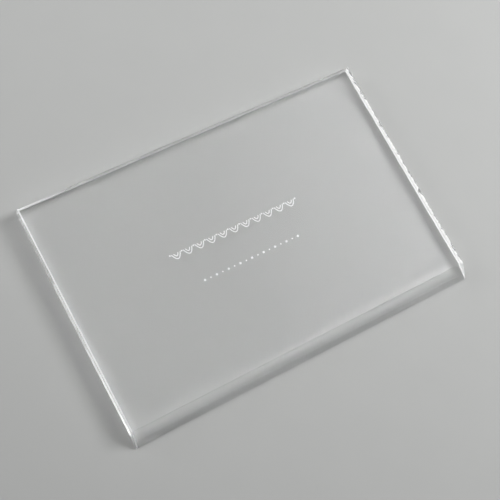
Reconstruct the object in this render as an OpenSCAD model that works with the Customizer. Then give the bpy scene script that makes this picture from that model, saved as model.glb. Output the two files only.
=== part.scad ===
// Icing smoother: one flat blade of clear cast acrylic sheet, bevelled along one long
// side, with a clean machined end on the left and a rough-sawn end on the right.
// The blade lies flat on its underside, centred on the origin: X runs along the working
// edge, the working edge faces -Y and +Z is up out of the sheet.

/* [Blade] */
// Length of the blade along its working edge, 6 in
blade_length = 152.4; // [100:0.2:300]
// Depth of the blade from the back to the working edge, 4 in
blade_depth = 101.6; // [60:0.2:150]
// Thickness of the clear sheet, 1/4 in
sheet_thickness = 6.35; // [4:0.05:12]

/* [Working edge] */
// Angle between the bevel and the flat underside
bevel_angle = 45; // [35:1:60]
// Height of the blunt land left at the tip of the working edge
edge_land = 0.8; // [0.5:0.1:1.5]

/* [Arrises] */
// Width of the scraped break along the two back arrises
back_break = 0.25; // [0.1:0.05:0.6]
// Width of the scraped break under the working edge
edge_break = 0.15; // [0.05:0.05:0.4]
// Width of the scraped break round the machined end
end_break = 0.2; // [0.1:0.05:0.6]

/* [Sawn end] */
// Spacing of the chips that the saw broke out of the top arris
chip_pitch = 2.4; // [2:0.1:6]
// How far the largest chip reaches in along the top face
chip_reach = 0.7; // [0.3:0.05:1.2]
// How far down the sawn face the largest chip runs
chip_fall = 1.3; // [0.5:0.05:2]
// How far the largest chip leans towards the back on its way down
chip_lean = 0.6; // [0:0.05:1.2]
// Size of the smallest chip as a share of the largest
chip_least = 0.4; // [0.2:0.05:0.9]
// Bare stretch of top arris at each end of the row of chips
chip_margin = 2; // [1.5:0.1:8]

/* [Hidden] */

clear_acrylic = [0.86, 0.88, 0.88, 0.45];

half_length = blade_length / 2;
half_depth = blade_depth / 2;
bevel_run = (sheet_thickness - edge_land) / tan(bevel_angle);
bevel_line_y = bevel_run - half_depth;

// How far past a face each cutting solid runs
overrun = 1;

// The row of chips, from the bevel line towards the back
chip_first_y = bevel_line_y + chip_margin;
chip_last_y = half_depth - chip_margin - chip_lean;
chip_gaps = floor((chip_last_y - chip_first_y) / chip_pitch);
chip_side = 2 * max(chip_reach, chip_fall);

// Share of the pitch by which a chip may stand off its even place
chip_stray = 0.35;
golden = (sqrt(5) - 1) / 2;

// A number from 0 to 1 that jumps about evenly as i counts up
function scatter(i) = i * golden - floor(i * golden);
// Size of chip i as a share of the largest
function chip_share(i) = chip_least + (1 - chip_least) * scatter(i + 1);
// Place of chip i along the sawn end
function chip_y(i) = chip_first_y + (i + chip_stray * scatter(5 * i)) * chip_pitch;

// Outline of the blade seen from its end, as Y and Z, counter-clockwise
function end_outline() = [
    [-half_depth + edge_break, 0],
    [half_depth - back_break, 0],
    [half_depth, back_break],
    [half_depth, sheet_thickness - back_break],
    [half_depth - back_break, sheet_thickness],
    [bevel_line_y, sheet_thickness],
    [-half_depth, edge_land],
    [-half_depth, edge_break]
];

// The sheet with its bevel, as cut to length
module bevelled_sheet() {
    translate([-half_length, 0, 0])
        rotate([90, 0, 90])
            linear_extrude(height = blade_length)
                polygon(end_outline());
}

// A bar along Y that takes the break off an arris on the origin, between a wall that
// faces -X and a floor that faces -Z
module break_cutter() {
    tip = end_break + overrun;
    translate([0, blade_depth, 0])
        rotate([90, 0, 0])
            linear_extrude(height = 2 * blade_depth)
                polygon([[-overrun, -overrun], [tip, -overrun], [-overrun, tip]]);
}

// The breaks round the machined end: underneath, along the top and down the bevel
module machined_end_breaks() {
    translate([-half_length, 0, 0])
        break_cutter();
    translate([-half_length, bevel_line_y, sheet_thickness])
        for (slope = [0, bevel_angle])
            rotate([slope, 0, 0])
                mirror([0, 0, 1])
                    break_cutter();
}

// One chip: a square bar, edge down, whose edge starts in the top face short of the
// sawn end and comes out of the sawn face lower down
module chip(share) {
    reach = chip_reach * share;
    fall = chip_fall * share;
    lean = chip_lean * share;
    heading = atan2(lean, reach);
    drop = atan2(fall, norm([reach, lean]));
    translate([half_length - reach, 0, sheet_thickness])
        rotate([0, drop, heading])
            rotate([45, 0, 0])
                translate([-overrun, 0, 0])
                    cube([chip_side + 2 * overrun, chip_side, chip_side]);
}

module sawn_end_chips() {
    for (i = [0 : chip_gaps])
        translate([0, chip_y(i), 0])
            chip(chip_share(i));
}

module blade() {
    color(clear_acrylic)
        difference() {
            bevelled_sheet();
            machined_end_breaks();
            sawn_end_chips();
        }
}

blade();
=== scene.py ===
"""Looks of a clear acrylic icing smoother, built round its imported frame.

The blade is one closed shell of clear sheet: glossy faces, a bevelled working edge, a
machined end with whitened arrises, a rough-sawn end with its chips, and a shallow etched
border on the top face. All lengths are in metres.
"""

import logging
import math
from dataclasses import dataclass, field
from enum import Enum, IntEnum

import bpy
import numpy as np
from mathutils import Matrix, Vector


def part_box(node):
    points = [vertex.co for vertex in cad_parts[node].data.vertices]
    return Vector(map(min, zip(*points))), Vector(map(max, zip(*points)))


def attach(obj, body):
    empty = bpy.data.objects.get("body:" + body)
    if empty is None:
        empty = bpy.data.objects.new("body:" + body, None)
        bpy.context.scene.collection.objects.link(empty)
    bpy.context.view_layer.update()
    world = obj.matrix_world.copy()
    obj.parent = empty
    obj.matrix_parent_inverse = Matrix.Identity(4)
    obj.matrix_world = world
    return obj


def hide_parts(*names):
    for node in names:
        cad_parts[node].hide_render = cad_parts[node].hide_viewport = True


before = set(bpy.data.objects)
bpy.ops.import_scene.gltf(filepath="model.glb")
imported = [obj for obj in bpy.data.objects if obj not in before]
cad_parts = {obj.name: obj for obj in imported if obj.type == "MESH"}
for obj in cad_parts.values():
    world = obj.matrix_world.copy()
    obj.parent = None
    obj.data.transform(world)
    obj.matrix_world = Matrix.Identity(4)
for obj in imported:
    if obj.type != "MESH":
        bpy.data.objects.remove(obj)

MM = 0.001
GOLDEN = (math.sqrt(5.0) - 1.0) / 2.0
ACRYLIC_IOR = 1.49
LOG = logging.getLogger("icing_smoother")


class Skin(Enum):
    """Which finish a face of the blade has; the value is its material slot."""

    GLOSSY = 0
    SCRAPED = 1
    MACHINED = 2
    SAWN = 3
    ETCHED = 4
    WHITENED = 5
    CHIPPED = 6
    SATIN = 7
    # Painted highlight: white on the strip along the back arris near the machined end.
    WORN = 8
    TORN = 9


class Side(IntEnum):
    """The sides of the blade's outline seen from its end; side n starts at corner n."""

    UNDERSIDE = 0
    LOWER_BREAK = 1
    BACK = 2
    UPPER_BREAK = 3
    # A narrow strip of the top face along the back arris that carries a painted highlight.
    WORN_STRIP = 4
    TOP = 5
    NICK_BACK = 6
    NICK_FRONT = 7
    BEVEL = 8
    LAND = 9
    EDGE_BREAK = 10


SIDE_SKINS = {
    Side.UNDERSIDE: Skin.GLOSSY,
    Side.LOWER_BREAK: Skin.SCRAPED,
    Side.BACK: Skin.MACHINED,
    Side.UPPER_BREAK: Skin.SCRAPED,
    Side.WORN_STRIP: Skin.WORN,
    Side.TOP: Skin.GLOSSY,
    Side.NICK_BACK: Skin.SCRAPED,
    Side.NICK_FRONT: Skin.SCRAPED,
    Side.BEVEL: Skin.SATIN,
    Side.LAND: Skin.SCRAPED,
    Side.EDGE_BREAK: Skin.SCRAPED,
}

TORN_SIDES = range(Side.WORN_STRIP, Side.LAND)
WHITENED_SIDES = range(Side.UPPER_BREAK, Side.LAND)


def scatter(count: np.ndarray) -> np.ndarray:
    """Numbers from 0 to 1 that jump about evenly: the fraction of count times golden.

    Args:
        count: whole numbers, one for each place.

    Returns:
        One number from 0 to 1 for each place.
    """
    return (count * GOLDEN) % 1.0


def smooth_noise(along: np.ndarray, pitch: float, seed: int, knot_count: int = 4096) -> np.ndarray:
    """Random heights at even knots, joined by half a cosine wave from knot to knot.

    Args:
        along: where to read the noise, in metres.
        pitch: distance between knots.
        seed: which row of random heights to use.
        knot_count: number of knots before the row repeats.

    Returns:
        Heights from -1 to 1, with the shape of along.
    """
    knots = np.random.default_rng(seed).uniform(-1.0, 1.0, knot_count)
    place = along / pitch
    left = np.floor(place).astype(int)
    blend = 0.5 - 0.5 * np.cos(math.pi * (place - left))
    return knots[left % knot_count] * (1.0 - blend) + knots[(left + 1) % knot_count] * blend


def cell_corners(grid: np.ndarray) -> tuple[np.ndarray, ...]:
    """The values at the four corners of every cell of a grid, going round the cell."""
    return grid[:-1, :-1], grid[1:, :-1], grid[1:, 1:], grid[:-1, 1:]


def make_mesh(name: str, points: np.ndarray, faces: list[list[int]], skins: list[Skin],
              finishes: list[bpy.types.Material]) -> bpy.types.Object:
    """Puts points and faces into a new mesh object at the origin.

    Args:
        name: name of the object.
        points: one row of three numbers for each point.
        faces: one list of point numbers for each face, outward side counter-clockwise.
        skins: the Skin of each face.
        finishes: the materials, in the order of Skin.

    Returns:
        The object, linked to the scene.
    """
    mesh = bpy.data.meshes.new(name)
    mesh.from_pydata(points.tolist(), [], faces)
    for finish in finishes:
        mesh.materials.append(finish)
    mesh.polygons.foreach_set("material_index", [skin.value for skin in skins])
    mesh.validate()
    mesh.update()
    made = bpy.data.objects.new(name, mesh)
    bpy.context.scene.collection.objects.link(made)
    return made


@dataclass(frozen=True)
class Grain:
    """Noise on Object coordinates, whose cells may be drawn out and turned.

    Scale is how many cells a metre holds before they are drawn out, drawn is how many
    times longer a cell is along X, Y and Z, detail is the number of finer layers, and
    turned is the turn of the cells about X, Y and Z.
    """

    scale: float
    drawn: tuple = (1.0, 1.0, 1.0)
    detail: float = 2.0
    turned: tuple = (0.0, 0.0, 0.0)


class NodeSheet:
    """The nodes of a material or of the world, with short ways to add and join them."""

    def __init__(self, owner: bpy.types.Material | bpy.types.World,
                 output: str = "OutputMaterial") -> None:
        """Clears the owner's nodes and adds its output node.

        Args:
            owner: the material or world that the nodes belong to.
            output: the output node's class, without "ShaderNode".
        """
        owner.use_nodes = True
        self.owner = owner
        self.tree = owner.node_tree
        self.tree.nodes.clear()
        self.output = self.add(output)

    def add(self, kind: str, **settings: object) -> bpy.types.Node:
        """Adds a node; settings are its properties, or its inputs by name.

        Args:
            kind: the node's class, without "ShaderNode".
            settings: a property or an input's value, an underscore standing for a space.

        Returns:
            The new node.
        """
        node = self.tree.nodes.new("ShaderNode" + kind)
        for key, value in settings.items():
            if hasattr(node, key):
                setattr(node, key, value)
            else:
                node.inputs[key.replace("_", " ")].default_value = value
        return node

    def join(self, source: bpy.types.NodeSocket, target: bpy.types.NodeSocket) -> None:
        """Joins an output socket to an input socket."""
        self.tree.links.new(source, target)

    def finish(self, surface: bpy.types.NodeSocket) -> bpy.types.Material | bpy.types.World:
        """Joins the last shader to the output and returns the material or world."""
        self.join(surface, self.output.inputs["Surface"])
        return self.owner

    def noise(self, grain: Grain) -> bpy.types.NodeSocket:
        """The height of a grain, about 0 to 1."""
        place = self.add("TexCoord")
        mapping = self.add("Mapping", vector_type="TEXTURE", Rotation=grain.turned,
                           Scale=grain.drawn)
        noise = self.add("TexNoise", Scale=grain.scale, Detail=grain.detail)
        self.join(place.outputs["Object"], mapping.inputs["Vector"])
        self.join(mapping.outputs["Vector"], noise.inputs["Vector"])
        return noise.outputs["Fac"]

    def bump(self, height: bpy.types.NodeSocket, depth: float) -> bpy.types.NodeSocket:
        """The normal of a bump of that depth, from a height of 0 to 1."""
        bump = self.add("Bump", Strength=1.0, Distance=depth)
        self.join(height, bump.inputs["Height"])
        return bump.outputs["Normal"]

    def spread(self, source: bpy.types.NodeSocket, low: float, high: float,
               out_low: float, out_high: float) -> bpy.types.NodeSocket:
        """Maps source from the range low to high onto out_low to out_high, held at both."""
        mapped = self.add("MapRange", From_Min=low, From_Max=high, To_Min=out_low, To_Max=out_high)
        self.join(source, mapped.inputs["Value"])
        return mapped.outputs["Result"]

    def place(self, axis: str) -> bpy.types.NodeSocket:
        """Place along the blade's X, Y or Z, in metres."""
        place = self.add("TexCoord")
        parts = self.add("SeparateXYZ")
        self.join(place.outputs["Object"], parts.inputs["Vector"])
        return parts.outputs[axis]

    def combine(self, operation: str, first: bpy.types.NodeSocket,
                *others: bpy.types.NodeSocket) -> bpy.types.NodeSocket:
        """Folds sockets together with one Math operation, such as MULTIPLY or MAXIMUM."""
        result = first
        for other in others:
            step = self.add("Math", operation=operation)
            self.join(result, step.inputs[0])
            self.join(other, step.inputs[1])
            result = step.outputs[0]
        return result

    def blend(self, first: bpy.types.NodeSocket, second: bpy.types.NodeSocket,
              share: float | bpy.types.NodeSocket) -> bpy.types.NodeSocket:
        """Mixes two shaders; share is how much of the second there is, 0 to 1."""
        mixed = self.add("MixShader")
        if isinstance(share, float):
            mixed.inputs["Fac"].default_value = share
        else:
            self.join(share, mixed.inputs["Fac"])
        self.join(first, mixed.inputs[1])
        self.join(second, mixed.inputs[2])
        return mixed.outputs[0]

    def acrylic(self, tint: tuple, roughness: float,
                normal: bpy.types.NodeSocket) -> bpy.types.Node:
        """A shader node of clear acrylic, which bends light.

        Args:
            tint: its colour.
            roughness: how rough its surface is.
            normal: its bumped normal.

        Returns:
            The shader node.
        """
        shader = self.add("BsdfPrincipled", Base_Color=tint, IOR=ACRYLIC_IOR,
                          Roughness=roughness, Transmission_Weight=1.0)
        self.join(normal, shader.inputs["Normal"])
        return shader

    def plainly_seen(self) -> bpy.types.NodeSocket:
        """Tells which rays may see a backdrop that lights nothing.

        Returns:
            A socket that is 1 for what the camera sees straight, mirrored or through clear
            material, and 0 for light that a matt surface scatters on its way.
        """
        rays = self.add("LightPath").outputs
        seen = self.combine("MAXIMUM", rays["Is Camera Ray"], rays["Is Glossy Ray"],
                            rays["Is Transmission Ray"])
        unscattered = self.spread(rays["Diffuse Depth"], 0.0, 1.0, 1.0, 0.0)
        return self.combine("MULTIPLY", seen, unscattered)


@dataclass(frozen=True)
class GlossyAcrylic:
    """The untouched face of cast sheet: clear, with a trace of haze and fine scuffs."""

    tint: tuple = (1.0, 1.0, 1.0, 1.0)
    cloud: Grain = Grain(90.0, detail=3.0)
    haze: float = 0.006
    haze_from: float = 0.45
    haze_to: float = 0.75
    scuffs: Grain = Grain(700.0, (16.0, 1.0, 1.0))
    scuff_depth: float = 0.00005 * MM

    def material(self) -> bpy.types.Material:
        """The finish as a material: its roughness is the haze where the cloud is high."""
        sheet = NodeSheet(bpy.data.materials.new("glossy_acrylic"))
        normal = sheet.bump(sheet.noise(self.scuffs), self.scuff_depth)
        shader = sheet.acrylic(self.tint, 0.0, normal)
        haze = sheet.spread(sheet.noise(self.cloud), self.haze_from, self.haze_to, 0.0, self.haze)
        sheet.join(haze, shader.inputs["Roughness"])
        return sheet.finish(shader.outputs[0])


@dataclass(frozen=True)
class CutAcrylic:
    """A face or arris that a tool has cut: clear, with the tool's fine marks."""

    name: str
    tint: tuple
    roughness: float
    marks: Grain
    mark_depth: float

    def material(self) -> bpy.types.Material:
        """The finish as a material."""
        sheet = NodeSheet(bpy.data.materials.new(self.name))
        normal = sheet.bump(sheet.noise(self.marks), self.mark_depth)
        return sheet.finish(sheet.acrylic(self.tint, self.roughness, normal).outputs[0])


@dataclass(frozen=True, kw_only=True)
class WhiteAcrylic:
    """Acrylic broken into tiny cracks: a share scatters light, the rest is rough but clear.

    Forward is how much of the scattered light goes on through the surface.
    """

    white: tuple = (0.95, 0.955, 0.955, 1.0)
    forward: float = 0.8
    roughness: float = 0.45

    def whiten(self, sheet: NodeSheet, clear: bpy.types.NodeSocket,
               normal: bpy.types.NodeSocket) -> bpy.types.Material:
        """Finishes a material as white acrylic.

        Args:
            sheet: the material's nodes.
            clear: how much of the surface is clear, 0 to 1.
            normal: the bumped normal of every share.

        Returns:
            The material.
        """
        back = sheet.add("BsdfDiffuse", Color=self.white)
        through = sheet.add("BsdfTranslucent", Color=self.white)
        for shader in (back, through):
            sheet.join(normal, shader.inputs["Normal"])
        scattered = sheet.blend(back.outputs[0], through.outputs[0], self.forward)
        rough = sheet.acrylic(self.white, self.roughness, normal)
        return sheet.finish(sheet.blend(scattered, rough.outputs[0], clear))


@dataclass(frozen=True)
class FrostedAcrylic(WhiteAcrylic):
    """A frosted face: white, with clearer spots where its grain is high."""

    name: str
    least_clear: float = 0.05
    most_clear: float = 0.4
    grain: Grain = Grain(2500.0, (1.0, 1.0, 4.0), 3.0)
    clear_from: float = 0.4
    clear_to: float = 0.65
    grain_depth: float = 0.06 * MM

    def material(self) -> bpy.types.Material:
        """The finish as a material."""
        sheet = NodeSheet(bpy.data.materials.new(self.name))
        grain = sheet.noise(self.grain)
        clear = sheet.spread(grain, self.clear_from, self.clear_to, self.least_clear, self.most_clear)
        return self.whiten(sheet, clear, sheet.bump(grain, self.grain_depth))


@dataclass(frozen=True)
class SawnAcrylic(WhiteAcrylic):
    """The saw cut: white low down and at the bevel, rough but clear above, with streaks."""

    white: tuple = (0.96, 0.965, 0.965, 1.0)
    forward: float = 0.68
    roughness: float = 0.4
    white_below: float = 2.0 * MM
    clear_above: float = 2.8 * MM
    white_before: float = -46.5 * MM
    clear_behind: float = -44.5 * MM
    streaks: Grain = Grain(800.0, (1.0, 1.0, 6.0), 2.0, (math.radians(52.0), 0.0, 0.0))
    streak_from: float = 0.45
    streak_to: float = 0.6
    streak_clear: float = 0.85
    streak_depth: float = 0.005 * MM

    def material(self) -> bpy.types.Material:
        """The finish as a material: its clear share grows with the height and behind the bevel."""
        sheet = NodeSheet(bpy.data.materials.new("sawn_acrylic"))
        streaks = sheet.noise(self.streaks)
        clear = sheet.combine(
            "MULTIPLY",
            sheet.spread(streaks, self.streak_from, self.streak_to, self.streak_clear, 1.0),
            sheet.spread(sheet.place("Z"), self.white_below, self.clear_above, 0.0, 1.0),
            sheet.spread(sheet.place("Y"), self.white_before, self.clear_behind, 0.0, 1.0),
        )
        return self.whiten(sheet, clear, sheet.bump(streaks, self.streak_depth))


@dataclass(frozen=True)
class PaintedHighlightAcrylic(WhiteAcrylic):
    """The top face along the back arris: a painted highlight, white at the machined end and fading to
    clear further on.
    """

    forward: float = 0.25
    roughness: float = 0.02
    white_at: float = -74.0 * MM
    clear_at: float = -48.0 * MM
    least_clear: float = 0.1
    scuffs: Grain = Grain(900.0, (3.0, 1.0, 1.0))
    scuff_depth: float = 0.0002 * MM

    def material(self) -> bpy.types.Material:
        """The finish as a material: its clear share grows with the distance along the blade."""
        sheet = NodeSheet(bpy.data.materials.new("painted_highlight_acrylic"))
        # Painted highlight: the strip is white at white_at and turns clear by clear_at along X.
        clear = sheet.spread(sheet.place("X"), self.white_at, self.clear_at, self.least_clear, 1.0)
        return self.whiten(sheet, clear, sheet.bump(sheet.noise(self.scuffs), self.scuff_depth))


@dataclass(frozen=True)
class TornAcrylic(WhiteAcrylic):
    """The upper faces along the sawn end: torn white up to a ragged line, then nearly clear.

    The white ends where the distance along X, plus a ragged shift, plus a shift that
    grows over the last stretch to the back, passes the limit.
    """

    forward: float = 0.2
    roughness: float = 0.12
    rag: Grain = Grain(360.0, (60.0, 1.0, 60.0), 5.0)
    rag_reach: float = 4.0 * MM
    back_from: float = 42.0 * MM
    back_to: float = 50.8 * MM
    back_reach: float = 0.25 * MM
    limit: float = 77.8 * MM
    fade: float = 0.1 * MM
    most_clear: float = 0.9
    pits: Grain = Grain(2000.0)
    pit_depth: float = 0.01 * MM

    def material(self) -> bpy.types.Material:
        """The finish as a material."""
        sheet = NodeSheet(bpy.data.materials.new("torn_acrylic"))
        reached = sheet.combine(
            "ADD",
            sheet.place("X"),
            sheet.spread(sheet.noise(self.rag), 0.0, 1.0, 0.0, self.rag_reach),
            sheet.spread(sheet.place("Y"), self.back_from, self.back_to, 0.0, self.back_reach),
        )
        clear = sheet.spread(reached, self.limit - self.fade, self.limit + self.fade,
                             0.0, self.most_clear)
        return self.whiten(sheet, clear, sheet.bump(sheet.noise(self.pits), self.pit_depth))


@dataclass(frozen=True)
class PaintedFloor:
    """A plain pale grey surface with a barely seen mottle.

    Far from the blade it fades to an even pale grey, which is also the backdrop's, where
    it is seen straight, mirrored or through the blade. That grey lights nothing.
    """

    grey: tuple = (0.418, 0.423, 0.417)
    roughness: float = 0.7
    mottle: float = 0.02
    cloud: Grain = Grain(60.0, detail=4.0)
    backdrop: tuple = (0.45, 0.455, 0.449, 1.0)
    fade_from: float = 0.35
    fade_to: float = 1.1

    def material(self) -> bpy.types.Material:
        """The finish as a material."""
        sheet = NodeSheet(bpy.data.materials.new("grey_floor"))
        paint = sheet.add("BsdfPrincipled", Roughness=self.roughness)
        ramp = sheet.add("ValToRGB")
        for stop, sign in zip(ramp.color_ramp.elements, (-1.0, 1.0)):
            stop.color = (*[level * (1.0 + sign * self.mottle) for level in self.grey], 1.0)
        sheet.join(sheet.noise(self.cloud), ramp.inputs["Fac"])
        sheet.join(ramp.outputs["Color"], paint.inputs["Base Color"])
        backdrop = sheet.add("Emission", Color=self.backdrop, Strength=1.0)
        place = sheet.add("TexCoord")
        distance = sheet.add("VectorMath", operation="LENGTH")
        sheet.join(place.outputs["Object"], distance.inputs[0])
        far = sheet.spread(distance.outputs["Value"], self.fade_from, self.fade_to, 0.0, 1.0)
        share = sheet.combine("MULTIPLY", far, sheet.plainly_seen())
        return sheet.finish(sheet.blend(paint.outputs[0], backdrop.outputs[0], share))


@dataclass(frozen=True)
class PitRow:
    """A row of V-shaped pits that the saw broke out under the top arris.

    Reach is how far in the largest pit goes, fall how far down it runs and lean how far
    it leans to the back on its way. A pit strays from its even place by up to stray
    times the pitch, and the smallest is least times the largest. The steps and the
    start choose which scattered numbers the places and sizes take.
    """

    pitch: float
    reach: float
    fall: float
    stray: float
    least: float
    place_step: int
    size_step: int
    size_start: int
    lean: float = 0.6 * MM
    flare: float = 0.8

    def depth(self, y: np.ndarray, drop: np.ndarray, first: float, last: float) -> np.ndarray:
        """How far in the deepest pit stands at each place, at least 0.

        A pit's depth is its reach, less the way down the face over its fall, less the
        distance from its floor line over its flare.

        Args:
            y: place along the sawn end.
            drop: distance below the top face.
            first: where the row begins.
            last: where the row ends.

        Returns:
            The depth, with the shape of y.
        """
        number = np.arange(int((last - first) / self.pitch) + 1)
        centres = first + (number + self.stray * scatter(self.place_step * number)) * self.pitch
        sizes = scatter(self.size_step * number + self.size_start)
        shares = self.least + (1.0 - self.least) * sizes
        down = drop[..., None] / (self.fall * shares)
        aside = np.abs(y[..., None] - centres - self.lean * shares * down)
        depth = self.reach * shares * (1.0 - down) - aside / self.flare
        return np.maximum(depth.max(axis=-1), 0.0)


@dataclass
class SawnEnd:
    """The rough-sawn end: how far its face stands in from a flat one."""

    chips: PitRow = PitRow(
        pitch=2.4 * MM, reach=0.7 * MM, fall=1.3 * MM, stray=0.35, least=0.4,
        place_step=5, size_step=1, size_start=1)
    feathers: PitRow = PitRow(
        pitch=0.8 * MM, reach=0.28 * MM, fall=1.6 * MM, stray=0.7, least=0.25,
        place_step=3, size_step=7, size_start=2)
    margin: float = 2.0 * MM
    mark_lean: float = 1.2
    mark_pitch: float = 0.35 * MM
    mark_depth: float = 0.07 * MM
    mark_seed: int = 11
    wander_pitch: float = 4.0 * MM
    wander_depth: float = 0.12 * MM
    wander_seed: int = 12

    def relief(self, y: np.ndarray, z: np.ndarray,
               blade: "Blade") -> tuple[np.ndarray, np.ndarray]:
        """How far in the sawn face stands: chips, feathers, slanted tooth marks, wander.

        Args:
            y: place along the sawn end.
            z: height above the underside.
            blade: the blade that the end belongs to.

        Returns:
            Distance in from the flat end, at least 0, and where it lies in a chip.
        """
        drop = blade.thickness - z
        first = blade.bevel_line + self.margin
        last = blade.half_depth - self.margin - self.chips.lean
        broken = self.chips.depth(y, drop, first, last)
        feathered = self.feathers.depth(y, drop, first, last)
        slanted = y + self.mark_lean * z
        marks = 0.5 + 0.5 * smooth_noise(slanted, self.mark_pitch, self.mark_seed)
        wander = 0.5 + 0.5 * smooth_noise(y, self.wander_pitch, self.wander_seed)
        cut = self.mark_depth * marks + self.wander_depth * wander
        corner = np.clip((y + blade.half_depth) / blade.bevel_run, 0.0, 1.0)
        worn = np.maximum(feathered, cut * corner)
        return np.maximum(broken, worn), broken > worn


@dataclass
class EtchedBorder:
    """A plain border etched in the top face: a row of swags over a row of dots."""

    depth: float = 0.12 * MM
    stroke: float = 0.42 * MM
    swag_width: float = 5.2 * MM
    swag_drop: float = 2.4 * MM
    swag_count: int = 11
    swag_gap: float = 1.3 * MM
    swag_points: int = 17
    inner_share: float = 0.5
    swag_left: float = -31.6 * MM
    swag_top: float = 9.0 * MM
    knot_share: float = 0.7
    knot_drop: float = 0.1 * MM
    dot_radius: float = 0.5 * MM
    small_dot_share: float = 0.62
    dot_points: int = 20
    dot_pitch: float = 2.66 * MM
    dot_count: int = 17
    dot_left: float = -23.7 * MM
    dot_y: float = -5.6 * MM
    clearance: float = 0.2 * MM

    def ribbon(self, path: np.ndarray) -> np.ndarray:
        """The outline of a stroke: its path pushed half a stroke to each side.

        Args:
            path: points along the stroke, as X and Y.

        Returns:
            The outline, counter-clockwise.
        """
        along = np.gradient(path, axis=0)
        along /= np.linalg.norm(along, axis=1)[:, None]
        side = np.stack([-along[:, 1], along[:, 0]], axis=1) * self.stroke / 2
        return np.concatenate([path - side, (path + side)[::-1]])

    def outlines(self) -> list[np.ndarray]:
        """Every stroke and dot of the border as an outline.

        A swag hangs as a parabola: its drop is largest half way between its ends.

        Returns:
            A list of arrays of X and Y.
        """
        drawn = []
        share = np.linspace(-1.0, 1.0, self.swag_points)
        half = (self.swag_width - self.swag_gap) / 2
        for number in range(self.swag_count):
            middle = self.swag_left + (number + 0.5) * self.swag_width
            for size in (1.0, self.inner_share):
                hang = self.swag_drop * size * (share ** 2 - 1.0)
                path = np.stack([middle + half * size * share, self.swag_top + hang], axis=1)
                drawn.append(self.ribbon(path))
        turn = np.linspace(0.0, 2.0 * math.pi, self.dot_points, endpoint=False)
        ring = np.stack([np.cos(turn), np.sin(turn)], axis=1)
        for number in range(self.dot_count):
            size = self.dot_radius * (1.0 if number % 2 == 0 else self.small_dot_share)
            drawn.append(ring * size + (self.dot_left + number * self.dot_pitch, self.dot_y))
        for number in range(self.swag_count + 1):
            knot = (self.swag_left + number * self.swag_width, self.swag_top - self.knot_drop)
            drawn.append(ring * self.dot_radius * self.knot_share + knot)
        return drawn

    def cutter(self, top: float, finishes: list[bpy.types.Material]) -> bpy.types.Object:
        """The strokes as closed prisms that reach from below the top face to above it.

        Args:
            top: height of the top face.
            finishes: the materials, in the order of Skin.

        Returns:
            One object that holds every prism.
        """
        points, faces = [], []
        start = 0
        for outline in self.outlines():
            count = len(outline)
            for height in (top - self.depth, top + self.clearance):
                points.append(np.column_stack([outline, np.full(count, height)]))
            ring = np.arange(count)
            following = (ring + 1) % count
            sides = start + np.stack([ring, following, following + count, ring + count], axis=1)
            faces += sides.tolist()
            faces.append((start + ring[::-1]).tolist())
            faces.append((start + count + ring).tolist())
            start += 2 * count
        skins = [Skin.ETCHED] * len(faces)
        return make_mesh("etch_cutter", np.concatenate(points), faces, skins, finishes)


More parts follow.
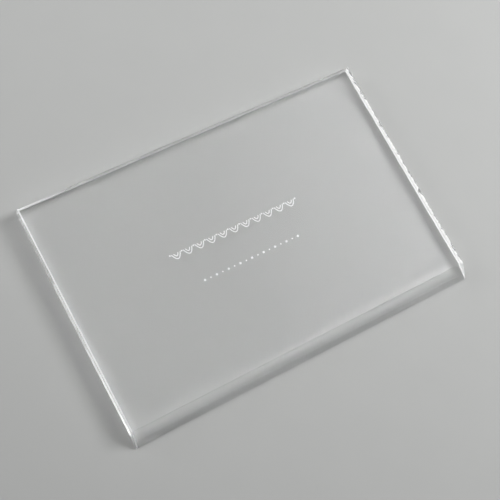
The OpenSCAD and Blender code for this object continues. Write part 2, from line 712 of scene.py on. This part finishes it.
@dataclass
class Blade:
    """The blade: one sheet with a bevelled working edge, from its box in the frame."""

    low: Vector
    high: Vector
    bevel_angle: float = math.radians(45.0)
    land: float = 0.8 * MM
    back_break: float = 0.25 * MM
    edge_break: float = 0.15 * MM
    end_break: float = 0.2 * MM
    inset_share: float = 0.6
    nick_depth: float = 0.4 * MM
    nick_front: float = 0.2 * MM
    nick_back: float = 0.16 * MM
    # Width of the top-face strip that carries the painted highlight.
    highlight_width: float = 0.75 * MM
    white_width: float = 0.4 * MM
    torn_width: float = 1.3 * MM
    least_strip: float = 0.4 * MM
    grain: float = 0.16 * MM
    rows: int = 36
    sawn_end: SawnEnd = field(default_factory=SawnEnd)
    border: EtchedBorder = field(default_factory=EtchedBorder)

    def __post_init__(self) -> None:
        """Works out the sizes that follow from the box and the bevel."""
        self.half_depth = (self.high.y - self.low.y) / 2
        self.thickness = self.high.z - self.low.z
        self.bevel_run = (self.thickness - self.land) / math.tan(self.bevel_angle)
        self.bevel_line = self.bevel_run - self.half_depth

    def corners(self) -> np.ndarray:
        """The outline seen from the end, as Y and Z, counter-clockwise; corner n starts Side n."""
        deep, tall = self.half_depth, self.thickness
        nick_fall = self.nick_front * math.tan(self.bevel_angle)
        return np.array([
            (-deep + self.edge_break, 0.0),
            (deep - self.back_break, 0.0),
            (deep, self.back_break),
            (deep, tall - self.back_break),
            (deep - self.back_break, tall),
            (deep - self.back_break - self.highlight_width, tall),
            (self.bevel_line + self.nick_back, tall),
            (self.bevel_line, tall - self.nick_depth),
            (self.bevel_line - self.nick_front, tall - nick_fall),
            (-deep, self.land),
            (-deep, self.edge_break),
        ])

    def inset_corners(self) -> np.ndarray:
        """The outline drawn in by the end break: each side moved in, then met again.

        The inset is at most a share of the working edge's own break, so that the side of
        that break keeps some length.

        Returns:
            The corners, in the order of corners().
        """
        outer = self.corners()
        along = np.roll(outer, -1, axis=0) - outer
        along /= np.linalg.norm(along, axis=1)[:, None]
        inward = np.stack([-along[:, 1], along[:, 0]], axis=1)
        before = np.roll(inward, 1, axis=0)
        shift = (before + inward) / (1.0 + np.sum(before * inward, axis=1))[:, None]
        return outer + shift * min(self.end_break, self.edge_break * self.inset_share)

    def columns(self) -> np.ndarray:
        """Even places from the working edge to the back that also hit every corner."""
        marks = np.unique(np.round(self.corners()[:, 0], 9))
        runs = [np.linspace(a, b, max(2, math.ceil((b - a) / self.grain) + 1))[:-1]
                for a, b in zip(marks[:-1], marks[1:])]
        return np.concatenate([*runs, marks[-1:]])

    def sawn_face(self) -> tuple[np.ndarray, np.ndarray]:
        """The sawn face: a grid in Y and height whose points stand in by the relief.

        Returns:
            The points, one row of the array for each place along Y, and where they lie
            in a chip.
        """
        corners = self.corners()
        roof = corners[Side.LAND:Side.BACK:-1]
        foot = corners[[Side.EDGE_BREAK, Side.UNDERSIDE, Side.LOWER_BREAK, Side.BACK]]
        y = self.columns()
        upper = np.interp(y, roof[:, 0], roof[:, 1])
        lower = np.interp(y, foot[:, 0], foot[:, 1])
        share = np.linspace(0.0, 1.0, self.rows + 1)
        grid_y = np.repeat(y[:, None], self.rows + 1, axis=1)
        grid_z = lower[:, None] + (upper - lower)[:, None] * share[None, :]
        inward, chipped = self.sawn_end.relief(grid_y, grid_z, self)
        return np.stack([self.high.x - inward, grid_y, grid_z], axis=-1), chipped

    def shell(self, finishes: list[bpy.types.Material]) -> bpy.types.Object:
        """The whole blade as one closed mesh, before the border is etched.

        A strip joins the sawn face's rim to a ring, which stands in by the torn width
        times the height over the thickness, and at least by the least strip. One flat
        face for each side of the outline joins that ring to the machined end.

        Args:
            finishes: the materials, in the order of Skin.

        Returns:
            The blade's object.
        """
        grid, chipped = self.sawn_face()
        number = np.arange(chipped.size).reshape(chipped.shape)
        faces = np.stack(cell_corners(number), axis=-1).reshape(-1, 4).tolist()
        in_chip = np.logical_and.reduce(cell_corners(chipped))
        skins = [Skin.CHIPPED if chip else Skin.SAWN for chip in in_chip.ravel()]

        rim = np.concatenate(
            [number[:, 0], number[-1, 1:], number[-2::-1, -1], number[0, -2:0:-1]])
        inner = grid.reshape(-1, 3)[rim]
        reach = self.torn_width * inner[:, 2] / self.thickness
        inner[:, 0] = self.high.x - np.maximum(reach, self.least_strip)
        ring = number.size + np.arange(len(rim))
        strip = np.stack([ring, np.roll(ring, -1), np.roll(rim, -1), rim], axis=1)
        side = self.side_of(inner[:, 1:])
        faces += strip.tolist()
        skins += [Skin.TORN if step in TORN_SIDES else SIDE_SKINS[step] for step in side]

        end_points, end_faces, end_skins = self.machined_end(ring, side)
        points = np.concatenate([grid.reshape(-1, 3), inner, end_points])
        return make_mesh("acrylic_blade", points, faces + end_faces, skins + end_skins, finishes)

    def machined_end(self, ring: np.ndarray, side: np.ndarray) -> tuple[np.ndarray, list, list]:
        """The long faces from the sawn end's ring, and the machined end with its arris.

        Args:
            ring: numbers of the ring's points, the last ones made so far.
            side: the Side that each step of the ring runs along.

        Returns:
            The new points, faces and skins.
        """
        corners = self.corners()
        arris_x = self.low.x + self.end_break
        stations = (
            (arris_x + self.white_width, corners),
            (arris_x, corners),
            (self.low.x, self.inset_corners()),
        )
        points = [np.column_stack([np.full(len(corners), x), outline]) for x, outline in stations]
        first = ring[-1] + 1
        white, arris, end = (first + np.arange(3 * len(corners))).reshape(3, -1).tolist()
        after = np.roll(ring, -1)
        faces, skins = [], []
        for this in Side:
            following = (this + 1) % len(corners)
            run = np.flatnonzero(side == this)
            chain = [*ring[run].tolist(), int(after[run[-1]])]
            faces += [
                [white[this], white[following], *chain[::-1]],
                [arris[this], arris[following], white[following], white[this]],
                [end[this], end[following], arris[following], arris[this]],
            ]
            strip_skin = Skin.WHITENED if this in WHITENED_SIDES else SIDE_SKINS[this]
            skins += [SIDE_SKINS[this], strip_skin, Skin.WHITENED]
        faces.append(end[::-1])
        skins.append(Skin.SCRAPED)
        return np.concatenate(points), faces, skins

    def side_of(self, loop: np.ndarray) -> np.ndarray:
        """Which side of the outline each step of the loop runs along.

        Args:
            loop: Y and Z of the points of a closed loop on the outline.

        Returns:
            The Side nearest to the middle of each step.
        """
        corners = self.corners()
        middle = (loop + np.roll(loop, -1, axis=0)) / 2
        start = corners[None, :, :]
        along = np.roll(corners, -1, axis=0)[None, :, :] - start
        reach = middle[:, None, :] - start
        share = np.clip(np.sum(reach * along, axis=2) / np.sum(along ** 2, axis=2), 0.0, 1.0)
        gap = np.linalg.norm(reach - share[:, :, None] * along, axis=2)
        return np.argmin(gap, axis=1)

    def etch(self, blade: bpy.types.Object, finishes: list[bpy.types.Material]) -> None:
        """Cuts the border into the top face and keeps the cut mesh."""
        cutter = self.border.cutter(self.thickness, finishes)
        cut = blade.modifiers.new("etch", "BOOLEAN")
        cut.operation = "DIFFERENCE"
        cut.solver = "EXACT"
        cut.object = cutter
        graph = bpy.context.evaluated_depsgraph_get()
        mesh = bpy.data.meshes.new_from_object(blade.evaluated_get(graph))
        blade.modifiers.clear()
        blade.data = mesh
        bpy.data.objects.remove(cutter)

    def finishes(self) -> list[bpy.types.Material]:
        """The blade's materials, in the order of Skin."""
        paints = {
            Skin.GLOSSY: GlossyAcrylic(),
            Skin.SCRAPED: CutAcrylic(
                "scraped_acrylic", (0.985, 0.99, 0.99, 1.0), roughness=0.05,
                marks=Grain(1500.0, (1.0, 20.0, 20.0), 3.0), mark_depth=0.0008 * MM),
            Skin.MACHINED: FrostedAcrylic(
                "machined_acrylic", forward=0.4, least_clear=0.3, most_clear=0.5,
                roughness=0.3, grain_depth=0.01 * MM),
            Skin.SAWN: SawnAcrylic(),
            Skin.ETCHED: FrostedAcrylic(
                "etched_acrylic", forward=0.15, least_clear=0.0, most_clear=0.15),
            Skin.WHITENED: FrostedAcrylic(
                "whitened_acrylic", forward=0.2, least_clear=0.0, most_clear=0.1,
                grain_depth=0.01 * MM),
            Skin.CHIPPED: FrostedAcrylic(
                "chipped_acrylic", forward=0.6, least_clear=0.6, most_clear=0.95,
                roughness=0.15, grain=Grain(1200.0, (1.0, 1.0, 4.0), 3.0)),
            Skin.SATIN: CutAcrylic(
                "satin_acrylic", (0.99, 0.992, 0.992, 1.0), roughness=0.2,
                marks=Grain(500.0, (1.0, 9.0, 9.0), 2.0, (0.0, 0.0, math.radians(-35.0))),
                mark_depth=0.01 * MM),
            Skin.WORN: PaintedHighlightAcrylic(),
            Skin.TORN: TornAcrylic(),
        }
        return [paints[skin].material() for skin in Skin]

    def build(self) -> bpy.types.Object:
        """The finished blade, riding on the root and standing for the frame's blade."""
        finishes = self.finishes()
        blade = self.shell(finishes)
        self.etch(blade, finishes)
        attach(blade, "root")
        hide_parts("blade")
        return blade


@dataclass(frozen=True)
class SoftLamp:
    """A flat soft lamp: its middle, the point that it faces, its two sides and its watts.

    The spread is the full angle into which it shines.
    """

    name: str
    place: tuple
    target: tuple
    width: float
    height: float
    power: float
    spread: float = math.radians(180.0)


@dataclass
class Studio:
    """A plain grey floor, soft lamps from the right, the back and the left, and a pale room.

    The two cards are dim lamps that stand where the top face mirrors them.
    """

    floor_half: float = 1.5
    floor_paint: PaintedFloor = PaintedFloor()
    floor_gap: float = 0.05 * MM
    lamps: tuple = (
        SoftLamp("side_lamp", (0.695, -0.073, 0.566), (0.50, -0.30, 0.0), 0.382, 0.482, 8.4),
        SoftLamp("back_lamp", (-0.119, 0.327, 0.602), (0.50, 0.50, 0.0), 0.208, 0.208, 2.25),
        SoftLamp("left_lamp", (-0.646, 0.646, 0.407), (0.0, 0.0, 0.0), 0.536, 0.353, 2.45),
        SoftLamp("top_card", (0.110, 0.100, 0.620), (0.110, 0.100, 0.0), 0.62, 0.47, 0.62),
        SoftLamp("right_card", (0.194, 0.128, 0.636), (-0.442, 0.016, 0.0), 0.46, 0.48, 0.13,
                 math.radians(54.0)),
    )
    room_level: float = 0.01
    camera_place: tuple = (-0.14439, -0.08606, 0.42886)
    camera_target: tuple = (0.00046, -0.00123, 0.0)
    camera_roll: float = math.radians(32.5)
    lens: float = 82.87
    nearest_seen: float = 0.01
    bounces: int = 32

    def aim(self, place: tuple, target: tuple, roll: float) -> Matrix:
        """Where a camera or lamp stands and how it is turned.

        Args:
            place: its position.
            target: the point that it looks at.
            roll: turn about its line of sight, counter-clockwise as it sees the scene.

        Returns:
            The matrix that puts it there.
        """
        sight = Vector(target) - Vector(place)
        turned = sight.to_track_quat("-Z", "Y").to_matrix() @ Matrix.Rotation(roll, 3, "Z")
        return Matrix.Translation(place) @ turned.to_4x4()

    def lay_floor(self) -> bpy.types.Object:
        """The floor, a hair under the blade so that air stays between them."""
        half, level = self.floor_half, -self.floor_gap
        points = [(-half, -half, level), (half, -half, level), (half, half, level), (-half, half, level)]
        mesh = bpy.data.meshes.new("floor")
        mesh.from_pydata(points, [], [[0, 1, 2, 3]])
        mesh.materials.append(self.floor_paint.material())
        floor = bpy.data.objects.new("floor", mesh)
        bpy.context.scene.collection.objects.link(floor)
        return floor

    def hang(self, lamp: SoftLamp) -> bpy.types.Object:
        """Hangs a soft lamp and returns its object."""
        light = bpy.data.lights.new(lamp.name, "AREA")
        light.shape = "RECTANGLE"
        light.size = lamp.width
        light.size_y = lamp.height
        light.energy = lamp.power
        light.spread = lamp.spread
        hung = bpy.data.objects.new(lamp.name, light)
        hung.matrix_world = self.aim(lamp.place, lamp.target, 0.0)
        bpy.context.scene.collection.objects.link(hung)
        return hung

    def light_room(self, backdrop: tuple) -> None:
        """An even dim room all round, in the backdrop's colour where it is plainly seen.

        Args:
            backdrop: colour of what is seen behind the floor.
        """
        world = bpy.data.worlds.new("room")
        sheet = NodeSheet(world, "OutputWorld")
        dim = sheet.add("Background", Color=(1.0, 1.0, 1.0, 1.0), Strength=self.room_level)
        pale = sheet.add("Background", Color=backdrop, Strength=1.0)
        sheet.finish(sheet.blend(dim.outputs[0], pale.outputs[0], sheet.plainly_seen()))
        bpy.context.scene.world = world

    def place_camera(self) -> bpy.types.Object:
        """The camera, where the photograph was taken from."""
        data = bpy.data.cameras.new("camera")
        data.lens = self.lens
        data.clip_start = self.nearest_seen
        camera = bpy.data.objects.new("camera", data)
        camera.matrix_world = self.aim(self.camera_place, self.camera_target, self.camera_roll)
        bpy.context.scene.collection.objects.link(camera)
        bpy.context.scene.camera = camera
        return camera

    def build(self) -> None:
        """Lays the floor, lights it and sets up the camera."""
        self.place_camera()
        self.lay_floor()
        for lamp in self.lamps:
            self.hang(lamp)
        self.light_room(self.floor_paint.backdrop)
        scene = bpy.context.scene
        scene.view_settings.view_transform = "Standard"
        scene.cycles.blur_glossy = 0.0
        scene.cycles.max_bounces = self.bounces
        scene.cycles.transmission_bounces = self.bounces
        scene.cycles.glossy_bounces = self.bounces


def main() -> None:
    """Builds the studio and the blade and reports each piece."""
    logging.basicConfig(level=logging.INFO, format="%(name)s: %(message)s")
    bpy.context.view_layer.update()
    Studio().build()
    low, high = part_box("blade")
    blade = Blade(low, high).build()
    LOG.info("%s: %d points, %d faces", blade.name, len(blade.data.vertices), len(blade.data.polygons))


if __name__ == "__main__":
    main()
